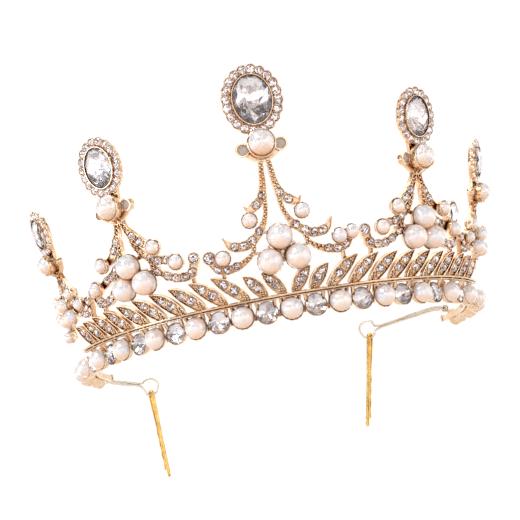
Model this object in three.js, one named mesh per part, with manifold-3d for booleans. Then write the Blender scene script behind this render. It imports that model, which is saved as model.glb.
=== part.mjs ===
// Bridal tiara in millimetres, +Z up, -Y to the wearer's front and +X to the right of a person facing it.
// The origin is on the head axis, level with the lowest point of the base row.
// A horseshoe band of pearls and round crystals carries a leaf frieze and five openwork crests.
// Two hair pins hang from wire loops at the ends of the band.
import * as THREE from "three";
import { mergeVertices } from "three/addons/utils/BufferGeometryUtils.js";
import Module from "manifold-3d";

const wasm = await Module();
wasm.setup();

const degrees = THREE.MathUtils.degToRad;
const GAP = 0.3; // left between pieces that touch

// Base row
const BAND_RADIUS = 80; // head axis to the centres of the row's pearls
const ROW_HEIGHT = 4; // stone centres above the origin
const STONES_EACH_SIDE = 18; // besides the middle pearl
const STONE_PITCH = degrees(5.57);
const PEARL_RADIUS = 3.5;
const CRYSTAL_RADIUS = 3.25;
const CRYSTAL_SETBACK = 1.6; // crystal girdle behind the pearl centres
const LAST_CRYSTAL_NODE = 11; // the rearmost crystals are too many for their own nodes
const CUP_RADIUS = 3.65;
const STRIP_INNER = 74.2;
const STRIP_OUTER = 75.2;
const STRIP_HALF_HEIGHT = 1.2;
const END_CAP_ANGLE = degrees(104);

// Flared face that carries the leaves and crests
const FLARE = degrees(15.5); // lean away from upright
const RAIL_INNER = 80.4;
const RAIL_OUTER = 82.2;
const RAIL_BOTTOM = 8.1;
const RAIL_TOP = 9.6;
const RAIL_END = degrees(62);
const RAIL_STEPS = 24;
const LEAF_THICKNESS = 1.5;
const LEAF_HALF_WIDTH = 1.9;
const LEAF_BASE = 5.1; // rise of the leaf's foot
const SHORT_LEAF = { sweep: degrees(4.1), tip: 12.2 };
const LONG_LEAF = { sweep: degrees(7.2), tip: 13.9 };
const LEAF_PITCH = degrees(5);
const LONG_LEAVES = 10; // on each side, after two short ones

// Crest castings
const CREST_THICKNESS = 1.6;
const CREST_FRONT = -0.2; // its front face, measured out from the flared face
const LAYER = 0.1; // each arm lies this much behind the last, so their faces never coincide
const FINIAL_STAND_OFF = 2; // big pearl centres in front of the flared face
const EYELET_RADIUS = 2.2; // beside the centre crest's pearl; the others have smaller ones
const EYELET_HOLE = 1.3;
const SADDLE_BACK = -3;

// Wires and hair pins
const WIRE_RADIUS = 0.5;
const STRAND_OFFSET = 0.6; // each strand from the middle of the doubled wire
const LOOP_RADIUS = 3.7;
const LOOP_YAW = degrees(20);
const PIN_YAW = degrees(60);
const PIN_WIDTH = 1.5;
const PIN_THICKNESS = 0.8;
const PIN_BEND_RADIUS = 1.6; // of the wire's middle line
const PIN_LENGTH = 37;
const PRONG_LENGTH = 33.5;
const EYE_DROP = 0.2; // the bend's centre hangs this far below the lowest point of the loop's wire

const gold = new THREE.MeshStandardMaterial({ color: 0xe3b57c, roughness: 0.3, metalness: 1 });
const pinGold = new THREE.MeshStandardMaterial({ color: 0xd9a441, roughness: 0.35, metalness: 1 });
const wireSteel = new THREE.MeshStandardMaterial({ color: 0xcfc6bd, roughness: 0.3, metalness: 1 });
const pearl = new THREE.MeshStandardMaterial({ color: 0xf6e9e2, roughness: 0.25, metalness: 0 });
const crystal = new THREE.MeshStandardMaterial({ color: 0xe9edf2, roughness: 0.05, metalness: 0 });

// ---- Solids ----

function solid(geometry) {
  const bare = geometry.index ? geometry.toNonIndexed() : geometry.clone();
  bare.deleteAttribute("normal");
  bare.deleteAttribute("uv");
  const merged = mergeVertices(bare, 1e-4);
  const mesh = new wasm.Mesh({
    numProp: 3,
    vertProperties: merged.attributes.position.array,
    triVerts: new Uint32Array(merged.index.array),
  });
  return new wasm.Manifold(mesh);
}

function join(geometries) {
  return geometries.map(solid).reduce((sum, next) => sum.add(next));
}

function cut(body, geometries) {
  return geometries.map(solid).reduce((rest, next) => rest.subtract(next), body);
}

function geometryOf(body) {
  const mesh = body.getMesh();
  const geometry = new THREE.BufferGeometry();
  geometry.setAttribute("position", new THREE.BufferAttribute(mesh.vertProperties, 3));
  geometry.setIndex(new THREE.BufferAttribute(mesh.triVerts, 1));
  const faceted = geometry.toNonIndexed();
  faceted.computeVertexNormals();
  return faceted;
}

const tiara = new THREE.Group();

function addNode(name, geometry, material) {
  const mesh = new THREE.Mesh(geometry, material);
  mesh.name = name;
  tiara.add(mesh);
  return mesh;
}

// ---- Places ----

// A frame on the upright base row: X along the row, Y up, Z away from the head.
function rowFrame(angle, radius, height) {
  const along = new THREE.Vector3(Math.cos(angle), Math.sin(angle), 0);
  const up = new THREE.Vector3(0, 0, 1);
  const away = new THREE.Vector3(Math.sin(angle), -Math.cos(angle), 0);
  const frame = new THREE.Matrix4().makeBasis(along, up, away);
  return frame.setPosition(radius * away.x, radius * away.y, height);
}

// The same on the flared face: rise is measured up its slope, out square to it.
function flaredFrame(angle, rise, out) {
  const radius = BAND_RADIUS + rise * Math.sin(FLARE) + out * Math.cos(FLARE);
  const height = ROW_HEIGHT + rise * Math.cos(FLARE) - out * Math.sin(FLARE);
  const tilt = new THREE.Matrix4().makeRotationX(FLARE);
  return rowFrame(angle, radius, height).multiply(tilt);
}

// Bends flat work (x along the face, y rise, z out) round the flared face at an angle.
function bend(geometry, angle) {
  const place = geometry.attributes.position;
  for (let i = 0; i < place.count; i += 1) {
    const rise = place.getY(i);
    const turn = angle + place.getX(i) / (BAND_RADIUS + rise * Math.sin(FLARE));
    const point = new THREE.Vector3().setFromMatrixPosition(flaredFrame(turn, rise, place.getZ(i)));
    place.setXYZ(i, point.x, point.y, point.z);
  }
  return geometry;
}

// ---- Shapes ----

// A flat strip along a smooth line of points, each [x, y, half width].
function ribbon(points, steps) {
  const line = new THREE.SplineCurve(points.map(([x, y]) => new THREE.Vector2(x, y)));
  const left = [];
  const right = [];
  for (let i = 0; i <= steps; i += 1) {
    const t = i / steps;
    const spot = t * (points.length - 1);
    const before = Math.min(Math.floor(spot), points.length - 2);
    const half = THREE.MathUtils.lerp(points[before][2], points[before + 1][2], spot - before);
    const middle = line.getPoint(t);
    const along = line.getTangent(t);
    left.push(new THREE.Vector2(middle.x - along.y * half, middle.y + along.x * half));
    right.push(new THREE.Vector2(middle.x + along.y * half, middle.y - along.x * half));
  }
  return new THREE.Shape([...left, ...right.reverse()]);
}

function ellipse(halfWidth, halfHeight, sides) {
  const points = [];
  for (let i = 0; i < sides; i += 1) {
    const turn = (2 * Math.PI * (i + 0.5)) / sides;
    points.push(new THREE.Vector2(halfWidth * Math.cos(turn), halfHeight * Math.sin(turn)));
  }
  return new THREE.Shape(points);
}

// A shape extruded from one distance out to another.
function slab(shape, back, front) {
  const geometry = new THREE.ExtrudeGeometry(shape, { depth: front - back, bevelEnabled: false });
  return geometry.translate(0, 0, back);
}

// A profile of [radius, out] points turned round the Z axis.
function turned(profile, sides) {
  const points = profile.map(([radius, out]) => new THREE.Vector2(radius, out));
  return new THREE.LatheGeometry(points, sides).rotateX(Math.PI / 2);
}

function ball(radius) {
  return new THREE.SphereGeometry(radius, 10, 6);
}

// ---- Base row ----

function cupShape() {
  const floor = -5.1;
  const rim = -2.2;
  const profile = [[0, floor], [3, floor], [CUP_RADIUS, rim], [CUP_RADIUS - 0.4, rim], [0, -4.6]];
  return turned(profile, 6);
}

// An upright strip that follows the band through the given angles, flat between one and the next.
function strip(turns, innerRadius, outerRadius, low, high) {
  const plan = turns.map((a) => new THREE.Vector2(Math.sin(a), -Math.cos(a)));
  const outer = plan.map((point) => point.clone().multiplyScalar(outerRadius));
  const inner = plan.map((point) => point.clone().multiplyScalar(innerRadius));
  return slab(new THREE.Shape([...outer, ...inner.reverse()]), low, high);
}

// The strip behind the cups has a flat facet behind each one, and runs on to an end plate on each side.
function backStrip() {
  const last = STONES_EACH_SIDE + 0.5;
  const turns = [];
  for (let k = -last; k <= last; k += 1) turns.push(k * STONE_PITCH);
  turns.unshift(-END_CAP_ANGLE);
  turns.push(END_CAP_ANGLE);
  const low = ROW_HEIGHT - STRIP_HALF_HEIGHT;
  return strip(turns, STRIP_INNER, STRIP_OUTER, low, low + 2 * STRIP_HALF_HEIGHT);
}

function endCap(side) {
  const depth = 5.6;
  const plate = new THREE.BoxGeometry(1.2, 5.4, depth);
  return plate.applyMatrix4(rowFrame(side * END_CAP_ANGLE, STRIP_INNER + depth / 2 - 0.1, ROW_HEIGHT + 0.3));
}

function baseBand() {
  const pieces = [backStrip(), endCap(-1), endCap(1)];
  for (let k = -STONES_EACH_SIDE; k <= STONES_EACH_SIDE; k += 1) {
    pieces.push(cupShape().applyMatrix4(rowFrame(k * STONE_PITCH, BAND_RADIUS, ROW_HEIGHT)));
  }
  return geometryOf(join(pieces));
}

function sideName(k) {
  if (k === 0) return "centre";
  return (k < 0 ? "left_" : "right_") + String(Math.abs(k)).padStart(2, "0");
}

function addBaseRow() {
  addNode("base_band", baseBand(), gold);
  const roundCut = [[0, -1.8], [CRYSTAL_RADIUS, 0], [CRYSTAL_RADIUS, 0.3], [2, 1.4], [0, 1.4]];
  for (let k = -STONES_EACH_SIDE; k <= STONES_EACH_SIDE; k += 1) {
    const isPearl = k % 2 === 0;
    if (!isPearl && Math.abs(k) > LAST_CRYSTAL_NODE) continue;
    const name = (isPearl ? "row_pearl_" : "row_crystal_") + sideName(k);
    const stone = isPearl ? ball(PEARL_RADIUS) : turned(roundCut, 8);
    const radius = isPearl ? BAND_RADIUS : BAND_RADIUS - CRYSTAL_SETBACK;
    const mesh = addNode(name, stone, isPearl ? pearl : crystal);
    mesh.applyMatrix4(rowFrame(k * STONE_PITCH, radius, ROW_HEIGHT));
  }
}

// ---- Leaf frieze ----

// One pointed leaf leaning from its foot at the rail towards the band's end.
function leaf(foot, kind, side) {
  const reach = kind.sweep * (BAND_RADIUS + 3);
  const rise = kind.tip - LEAF_BASE;
  const length = Math.hypot(reach, rise);
  const half = LEAF_HALF_WIDTH * 2; // a quadratic curve reaches half its control point
  const shape = new THREE.Shape();
  shape.moveTo(0, 0);
  shape.quadraticCurveTo(length / 2, -half, length, 0);
  shape.quadraticCurveTo(length / 2, half, 0, 0);
  const options = { depth: LEAF_THICKNESS, bevelEnabled: false, curveSegments: 3 };
  const flat = new THREE.ExtrudeGeometry(shape, options);
  flat.translate(0, 0, -LEAF_THICKNESS / 2);
  flat.rotateZ(side > 0 ? Math.atan2(rise, reach) : Math.PI - Math.atan2(rise, reach));
  flat.translate(0, LEAF_BASE, 0);
  return bend(flat, side * foot);
}

function rail() {
  const turns = [];
  for (let i = 0; i <= RAIL_STEPS; i += 1) {
    turns.push(THREE.MathUtils.lerp(-RAIL_END, RAIL_END, i / RAIL_STEPS));
  }
  return strip(turns, RAIL_INNER, RAIL_OUTER, RAIL_BOTTOM, RAIL_TOP);
}

function leafFrieze() {
  const pieces = [rail()];
  for (const side of [-1, 1]) {
    pieces.push(leaf(degrees(1.1), SHORT_LEAF, side));
    pieces.push(leaf(degrees(5.1), SHORT_LEAF, side));
    for (let i = 0; i < LONG_LEAVES; i += 1) {
      pieces.push(leaf(degrees(8.9) + i * LEAF_PITCH, LONG_LEAF, side));
    }
  }
  return geometryOf(join(pieces));
}

// ---- Crests ----
// Arms are drawn for the right half, as [x, rise, half width], and mirrored.

const CENTRE_CREST = {
  head: { rise: 64.8, halfWidth: 9.4, halfHeight: 10.7, stoneWidth: 5.9, stoneHeight: 7.4 },
  finial: { rise: 51.3, radius: 4, eyeletSize: 1 },
  arms: [
    [[1.1, 48.5, 0.8], [1.5, 43, 1], [2, 38.6, 1.2], [3.1, 35.2, 1.5], [5.2, 33.1, 1.5], [8.4, 33, 0.2]],
    [[1.9, 36, 0.7], [3, 29.5, 0.8], [5.4, 25.2, 1.3], [8.3, 22.7, 1.6], [11, 21.6, 1.6], [14, 22, 1.5],
      [17.1, 24.8, 0.2]],
    [[7.9, 22.5, 0.7], [8.9, 19.1, 0.8], [12, 16.9, 1.1], [15, 15.9, 1.4], [18, 15.7, 1.4], [20.7, 16.8, 1.5],
      [22.5, 20.2, 1.7]],
  ],
  pegs: [
    [[3, 28.6, 0.6], [8, 28.8, 0.6]],
    [[18.1, 16, 0.6], [18.1, 19.4, 0.6]],
    [[21.5, 18, 0.6], [22, 19.9, 0.6]],
  ],
  seats: [[8, 28.8], [18.1, 19.4]],
  strut: 19.4,
  triad: { top: 22.4, low: 15.4, half: 4.3, radius: 4 },
};

const MIDDLE_CREST = {
  head: { rise: 57.9, halfWidth: 8.3, halfHeight: 9.5, stoneWidth: 5.2, stoneHeight: 6.5 },
  finial: { rise: 44.6, radius: 4, eyeletSize: 0.9 },
  arms: [
    [[0.9, 42, 0.8], [1.5, 37.5, 1], [3.3, 33.8, 1.5], [5.5, 31.2, 1.6], [8.2, 29, 1.3], [10.9, 28, 1.2]],
    [[2.4, 34.5, 0.8], [3, 30.5, 0.8], [4.8, 27.3, 1], [7.4, 25.2, 1.4], [9.8, 23.7, 1.5], [12.9, 23, 1.5],
      [16.8, 21.4, 1.1]],
    [[7, 25, 0.7], [7.6, 21.6, 0.8], [11.2, 18.2, 1.2], [14.2, 16.7, 1.4], [17, 16.3, 1.5], [20, 17, 1.5],
      [22, 21.2, 1.6]],
  ],
  pegs: [],
  seats: [[10.9, 28], [16.8, 21.4]],
  strut: 19.4,
  triad: { top: 24.6, low: 18.1, half: 4.1, radius: 4 },
};

// The right middle crest also carries an upright oval crystal above the end of its outer arm.
const SIDE_STONE = { x: 18.1, rise: 26.9, stoneWidth: 2.4, stoneHeight: 3.8 };
const MIDDLE_CREST_RIGHT = { ...MIDDLE_CREST, sideStone: SIDE_STONE };

// The outer crests repeat the middle ones, narrower and lower.
function outerCrest() {
  const narrow = 0.66;
  const lower = (rise) => 14 + (rise - 14) * 0.8;
  const squeeze = (line) => line.map(([x, rise, half]) => [x * narrow, lower(rise), half * 0.85]);
  return {
    head: { rise: 50.2, halfWidth: 7, halfHeight: 8, stoneWidth: 4.4, stoneHeight: 5.5 },
    finial: { rise: 38.6, radius: 3.4, eyeletSize: 0.7 },
    arms: MIDDLE_CREST.arms.map(squeeze),
    pegs: [],
    seats: MIDDLE_CREST.seats.map(([x, rise]) => [x * narrow, lower(rise)]),
    strut: MIDDLE_CREST.strut * narrow,
    triad: { top: 22.6, low: 17.6, half: 2.9, radius: 2.7 },
  };
}

function mirrored(line) {
  return line.map(([x, rise, half]) => [-x, rise, half]);
}

// Leans flat crest work sideways about a point low on its middle line.
function lean(geometry, angle) {
  const pivot = 18;
  return geometry.translate(0, -pivot, 0).rotateZ(angle).translate(0, pivot, 0);
}

function triadSpots({ top, low, half }) {
  return [[0, top], [-half, low], [half, low]];
}

function arms(crest) {
  const back = CREST_FRONT - CREST_THICKNESS;
  const flat = [];
  if (crest.sideStone) {
    const { x, rise, stoneWidth, stoneHeight } = crest.sideStone;
    flat.push(slab(ellipse(stoneWidth + 0.7, stoneHeight + 0.7, 8), back, CREST_FRONT).translate(x, rise, 0));
    flat.push(slab(ribbon([[x, rise, 0.7], [16.8, 21.4, 0.7]], 1), back + 0.25, CREST_FRONT - 0.55));
  }
  crest.arms.forEach((line, layer) => {
    const drop = (layer + 1) * LAYER;
    for (const half of [line, mirrored(line)]) {
      flat.push(slab(ribbon(half, 5), back - drop, CREST_FRONT - drop));
    }
  });
  for (const line of crest.pegs) {
    for (const half of [line, mirrored(line)]) {
      flat.push(slab(ribbon(half, 1), back + 0.25, CREST_FRONT - 0.55));
    }
  }
  for (const [x, rise] of crest.seats) {
    for (const side of [-1, 1]) {
      flat.push(slab(ellipse(1.6, 1.6, 6), back + 0.1, CREST_FRONT - 0.45).translate(side * x, rise, 0));
    }
  }
  for (const side of [-1, 1]) {
    const x = side * crest.strut;
    flat.push(slab(ribbon([[x, 16.5, 0.8], [x, 11.5, 0.8]], 1), back - 0.4, CREST_FRONT - 0.9));
  }
  return flat;
}

// A bar and a spine behind the three pearls tie the two halves together and stand on the leaves.
function saddle({ top, low }) {
  const bar = [[-8.5, top - 0.4, 1.1], [0, top - 0.4, 1.1], [8.5, top - 0.4, 1.1]];
  const spine = [[0, top, 1], [0, low, 1], [0, 11, 1]];
  return [slab(ribbon(bar, 4), SADDLE_BACK, -1.65), slab(ribbon(spine, 3), SADDLE_BACK - LAYER, -1.2)];
}

function headPlate({ rise, halfWidth, halfHeight, stoneWidth, stoneHeight }) {
  const plate = slab(ellipse(halfWidth, halfHeight, 18), CREST_FRONT - CREST_THICKNESS, CREST_FRONT);
  const bezel = slab(ellipse(stoneWidth + 1, stoneHeight + 1, 14), -1.5, 0.9);
  return [plate.translate(0, rise, 0), bezel.translate(0, rise, 0)];
}

// Two open eyes stand out on either side of the big pearl.
function eyelets({ rise, radius, eyeletSize }) {
  const outer = EYELET_RADIUS * eyeletSize;
  const inner = EYELET_HOLE * eyeletSize;
  return [-1, 1].map((side) => {
    const ring = ellipse(outer, outer, 8);
    ring.holes.push(new THREE.Path(ellipse(inner, inner, 6).getPoints()));
    return slab(ring, -2.1, -0.7).translate(side * (radius + 0.7 * outer), rise - outer / 2, 0);
  });
}

function crestFrame(crest, angle, sideways) {
  const { head, finial, triad } = crest;
  const bent = [...arms(crest), ...saddle(triad)].map((flat) => bend(lean(flat, sideways), angle));
  const straight = headPlate(head);
  const disc = ellipse(finial.radius - GAP, finial.radius - GAP, 10);
  straight.push(slab(disc, -2.9, 0.5).translate(0, finial.rise, 0));
  const shoulders = [[0, head.rise - head.halfHeight + 2, 5], [0, finial.rise, finial.radius + 0.6]];
  straight.push(slab(ribbon(shoulders, 1), -2.3, -0.9));
  straight.push(...eyelets(finial));
  const flat = flaredFrame(angle, 0, 0);
  const placed = straight.map((piece) => lean(piece, sideways).applyMatrix4(flat));
  const pocket = slab(ellipse(head.stoneWidth + 0.4, head.stoneHeight + 0.4, 14), -1, 2);
  const bed = ball(finial.radius + GAP).translate(0, finial.rise, FINIAL_STAND_OFF);
  const hollows = [pocket.translate(0, head.rise, 0), bed];
  const cuts = hollows.map((piece) => lean(piece, sideways).applyMatrix4(flat));
  for (const [x, rise] of triadSpots(triad)) {
    cuts.push(pearlAt(triad.radius + GAP, x, rise, angle, sideways));
  }
  return geometryOf(cut(join([...bent, ...placed]), cuts));
}

// A pearl held in front of the bent face.
function pearlAt(radius, x, rise, angle, sideways) {
  const spot = lean(new THREE.BufferGeometry().setFromPoints([new THREE.Vector3(x, rise, 0)]), sideways);
  const place = spot.attributes.position;
  const turn = angle + place.getX(0) / (BAND_RADIUS + place.getY(0) * Math.sin(FLARE));
  return ball(radius).applyMatrix4(flaredFrame(turn, place.getY(0), FINIAL_STAND_OFF));
}

// Three pearls strung on one wire, the top one in the middle.
function pearlTriad(crest, angle, sideways) {
  const { radius } = crest.triad;
  const spots = triadSpots(crest.triad);
  const pearls = spots.map(([x, rise]) => pearlAt(radius, x, rise, angle, sideways));
  const centres = pearls.map((geometry) => {
    geometry.computeBoundingSphere();
    return geometry.boundingSphere.center;
  });
  const [top, ...low] = centres;
  const links = low.map((centre) => {
    const path = new THREE.LineCurve3(top, centre);
    return new THREE.ExtrudeGeometry(ellipse(0.6, 0.6, 4), { steps: 1, extrudePath: path });
  });
  return geometryOf(join([...pearls, ...links]));
}

function headStone({ stoneWidth, stoneHeight }) {
  const profile = [[0, -0.7], [0.75, -0.7], [1, 0.2], [1, 0.6], [0.62, 2.2], [0, 2.2]];
  return turned(profile, 12).scale(stoneWidth, stoneHeight, 1);
}

function addCrest(name, crest, angle, sideways) {
  addNode("crest_" + name, crestFrame(crest, angle, sideways), gold);
  const face = flaredFrame(angle, 0, 0);
  const { head, finial } = crest;
  const stone = lean(headStone(head).translate(0, head.rise, 0), sideways);
  addNode("oval_crystal_" + name, stone, crystal).applyMatrix4(face);
  const bead = lean(ball(finial.radius).translate(0, finial.rise, FINIAL_STAND_OFF), sideways);
  addNode("finial_pearl_" + name, bead, pearl).applyMatrix4(face);
  addNode("pearl_triad_" + name, pearlTriad(crest, angle, sideways), pearl);
  if (!crest.sideStone) return;
  const { x, rise } = crest.sideStone;
  const turn = angle + x / (BAND_RADIUS + rise * Math.sin(FLARE));
  const upright = headStone(crest.sideStone).translate(0, 0, 0.9);
  addNode("side_crystal_" + name, upright, crystal).applyMatrix4(flaredFrame(turn, rise, 0));
}

function addCrests() {
  const outer = outerCrest();
  addCrest("centre", CENTRE_CREST, 0, degrees(1.8));
  addCrest("mid_left", MIDDLE_CREST, degrees(-33.3), 0);
  addCrest("mid_right", MIDDLE_CREST_RIGHT, degrees(33.3), 0);
  addCrest("outer_left", outer, degrees(-60.9), 0);
  addCrest("outer_right", outer, degrees(60.9), 0);
}

// ---- Wires and hair pins ----
// Each doubled wire is bent by hand, so its route is a list of points; the last is the neck of the loop.

const SIDES = {
  left: {
    sign: -1,
    route: [[-76.2, 20.6, 4.6], [-75.6, 29, 4.1], [-70.7, 36, 3], [-64.6, 40, 1.5]],
    loop: [-60.2, 41.6, 0],
    lean: degrees(4),
  },
  right: {
    sign: 1,
    route: [[77.6, 19.4, 8.5], [71, 17, 9.2], [60.8, 14.6, 7.8], [43.6, 12, 5]],
    loop: [39.2, 13.6, 5],
    lean: degrees(-13.5),
  },
};

// The loop's plane holds this level direction and the vertical.
function loopAlong({ sign }) {
  return new THREE.Vector3(-sign * Math.cos(LOOP_YAW), Math.sin(LOOP_YAW), 0);
}

function doubledWire(side) {
  const route = side.route.map((point) => new THREE.Vector3(...point));
  const centre = new THREE.Vector3(...side.loop);
  const along = loopAlong(side);
  const up = new THREE.Vector3(0, 0, 1);
  const points = route.map((point) => point.clone().addScaledVector(up, STRAND_OFFSET));
  for (let turn = 125; turn >= -125; turn -= 25) {
    const a = degrees(turn);
    const point = centre.clone().addScaledVector(along, LOOP_RADIUS * Math.cos(a));
    points.push(point.addScaledVector(up, LOOP_RADIUS * Math.sin(a)));
  }
  for (const point of route.reverse()) {
    points.push(point.clone().addScaledVector(up, -STRAND_OFFSET));
  }
  const path = new THREE.CatmullRomCurve3(points, false, "centripetal");
  return new THREE.ExtrudeGeometry(ellipse(WIRE_RADIUS, WIRE_RADIUS, 6), { steps: 34, extrudePath: path });
}

// Where the pin hangs: the lowest point of the loop's wire.
function pinEye(side) {
  return new THREE.Vector3(...side.loop).add(new THREE.Vector3(0, 0, -LOOP_RADIUS));
}

// The pin's own frame: X across its two legs, towards the straight one, Y up its length.
function pinFrame(side) {
  const across = new THREE.Vector3(-side.sign * Math.cos(PIN_YAW), -Math.sin(PIN_YAW), 0);
  const up = new THREE.Vector3(0, 0, 1);
  const normal = new THREE.Vector3().crossVectors(across, up);
  const frame = new THREE.Matrix4().makeBasis(across, up, normal);
  const tilt = new THREE.Matrix4().makeRotationY(-side.lean);
  return new THREE.Matrix4().setPosition(pinEye(side)).multiply(tilt).multiply(frame);
}

const HALF_THICKNESS = PIN_THICKNESS / 2;

// The bend and the straight leg.
function pinBody() {
  const points = [[-PIN_BEND_RADIUS, -EYE_DROP - 0.6, HALF_THICKNESS]];
  for (let turn = 180; turn >= 0; turn -= 30) {
    const a = degrees(turn);
    const x = PIN_BEND_RADIUS * Math.cos(a);
    points.push([x, PIN_BEND_RADIUS * Math.sin(a) - EYE_DROP, HALF_THICKNESS]);
  }
  points.push([1.25, -6, HALF_THICKNESS], [0.7, -16, HALF_THICKNESS]);
  points.push([0.5, -22, HALF_THICKNESS], [0.5, -PIN_LENGTH, HALF_THICKNESS]);
  return slab(ribbon(points, 18), -PIN_WIDTH / 2, PIN_WIDTH / 2);
}

// The wavy leg, sprung against the straight one.
function pinProng() {
  const points = [[-PIN_BEND_RADIUS, -EYE_DROP - 0.95, HALF_THICKNESS], [-1.3, -6, HALF_THICKNESS]];
  points.push([-0.75, -14.5, HALF_THICKNESS]);
  for (let wave = 0; wave < 3; wave += 1) {
    points.push([-1.35, -17.5 - 5 * wave, HALF_THICKNESS], [-0.7, -20 - 5 * wave, HALF_THICKNESS]);
  }
  points.push([-1.7, -PRONG_LENGTH, HALF_THICKNESS]);
  return slab(ribbon(points, 18), -PIN_WIDTH / 2, PIN_WIDTH / 2);
}

function addPins() {
  for (const [name, side] of Object.entries(SIDES)) {
    addNode("wire_loop_" + name, doubledWire(side), wireSteel);
    addNode("hair_pin_" + name, pinBody(), pinGold).applyMatrix4(pinFrame(side));
    addNode("pin_prong_" + name, pinProng(), pinGold).applyMatrix4(pinFrame(side));
  }
}

addBaseRow();
addNode("leaf_frieze", leafFrieze(), gold);
addCrests();
addPins();

export default tiara;
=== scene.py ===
import math

import bpy
import numpy as np
from mathutils import Matrix, Vector


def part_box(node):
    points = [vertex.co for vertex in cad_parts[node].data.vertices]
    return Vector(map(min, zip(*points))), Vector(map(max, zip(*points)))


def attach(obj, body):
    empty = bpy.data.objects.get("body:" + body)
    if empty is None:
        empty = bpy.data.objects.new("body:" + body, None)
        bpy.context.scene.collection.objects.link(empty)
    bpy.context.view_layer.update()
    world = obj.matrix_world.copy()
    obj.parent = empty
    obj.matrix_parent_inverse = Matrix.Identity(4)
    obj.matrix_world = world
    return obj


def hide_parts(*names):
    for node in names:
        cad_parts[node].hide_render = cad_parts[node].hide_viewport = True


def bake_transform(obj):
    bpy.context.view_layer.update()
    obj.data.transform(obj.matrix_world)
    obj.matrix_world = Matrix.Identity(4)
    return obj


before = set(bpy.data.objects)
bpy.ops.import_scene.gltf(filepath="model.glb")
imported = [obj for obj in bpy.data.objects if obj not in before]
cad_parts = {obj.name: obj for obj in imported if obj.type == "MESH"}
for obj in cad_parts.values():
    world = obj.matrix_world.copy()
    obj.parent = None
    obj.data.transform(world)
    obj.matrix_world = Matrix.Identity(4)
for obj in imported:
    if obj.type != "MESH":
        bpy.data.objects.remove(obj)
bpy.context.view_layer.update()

# Lengths are in millimetres until a piece is made, and the frame is the CAD's.
MM = 0.001
TAU = 2 * math.pi
BODY = "tiara"


def middle(node):
    low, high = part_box(node)
    return (low + high) / 2 / MM


# ---- The tiara's own measures, as the CAD has them ----

FLARE = math.radians(15.5)
BAND_RADIUS = math.hypot(*middle("row_pearl_centre").xy)
ROW_HEIGHT = middle("row_pearl_centre").z
STONE_PITCH = math.radians(5.57)
STONES_EACH_SIDE = 18
END_CAP_ANGLE = math.radians(102.4)
STRIP_INNER, STRIP_OUTER, STRIP_HALF_HEIGHT = 74.2, 75.2, 1.2
CREST_BACK, CREST_FRONT = -1.8, -0.2
PEARL_RADIUS, CHATON_RADIUS = 3.5, 3.44
# How far a crest's big pearls stand out of its face, and the rise of the point a crest leans about
PEARL_OUT, LEAN_PIVOT = 2.0, 18.0


# ---- Places: matrices and functions that take points to where they stand on the tiara ----

def row_frame(angle, radius, height):
    """A place round the head: x runs along the band, y up and z outwards."""
    c, s = math.cos(angle), math.sin(angle)
    m = np.eye(4)
    m[:3, 0] = (c, s, 0)
    m[:3, 1] = (0, 0, 1)
    m[:3, 2] = (s, -c, 0)
    m[:3, 3] = (radius * s, -radius * c, height)
    return m


def flared_frame(angle, rise=0.0, out=0.0):
    """The same on the face above the row, which flares outwards as it rises."""
    c, s = math.cos(FLARE), math.sin(FLARE)
    tilt = np.eye(4)
    tilt[1:3, 1:3] = ((c, -s), (s, c))
    radius = BAND_RADIUS + rise * s + out * c
    return row_frame(angle, radius, ROW_HEIGHT + rise * c - out * s) @ tilt


def rigid(matrix):
    return lambda p: p @ matrix[:3, :3].T + matrix[:3, 3]


def leaned(p, lean):
    """Flat work turned in its own plane about a point low on its middle line."""
    c, s = math.cos(lean), math.sin(lean)
    x, y = p[:, 0], p[:, 1] - LEAN_PIVOT
    return np.column_stack((x * c - y * s, x * s + y * c + LEAN_PIVOT, p[:, 2]))


def bent(angle, lean=0.0):
    """Flat work (x along the face, y rise, z out) bent round the flared face."""
    def place(p):
        p = leaned(p, lean)
        slant = BAND_RADIUS + p[:, 1] * math.sin(FLARE)
        turn = angle + p[:, 0] / slant
        radius = slant + p[:, 2] * math.cos(FLARE)
        height = ROW_HEIGHT + p[:, 1] * math.cos(FLARE) - p[:, 2] * math.sin(FLARE)
        return np.column_stack((radius * np.sin(turn), -radius * np.cos(turn), height))
    return place


def on_bent(angle, lean, x, rise, out):
    """A rigid frame that stands on bent work at a point, so a stone there keeps its shape."""
    spot = leaned(np.array([[x, rise, 0.0]]), lean)[0]
    turn = angle + spot[0] / (BAND_RADIUS + spot[1] * math.sin(FLARE))
    return flared_frame(turn, spot[1], out) @ spin(lean)


def on_head(angle, lean, x, rise, out):
    """The same on the flat, straight head of a crest."""
    spot = leaned(np.array([[x, rise, 0.0]]), lean)[0]
    return flared_frame(angle) @ shift(spot[0], spot[1], out) @ spin(lean)


def shift(x, y, z):
    m = np.eye(4)
    m[:3, 3] = (x, y, z)
    return m


def spin(angle):
    c, s = math.cos(angle), math.sin(angle)
    m = np.eye(4)
    m[:2, :2] = ((c, -s), (s, c))
    return m


# ---- Meshes ----

POLE_SHARE = 0.02
FLUTE_COUNT = 14
THINNEST_HALF = 0.12
TABLE_SHARE, CULET_SHARE = 0.56, 0.02


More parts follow.
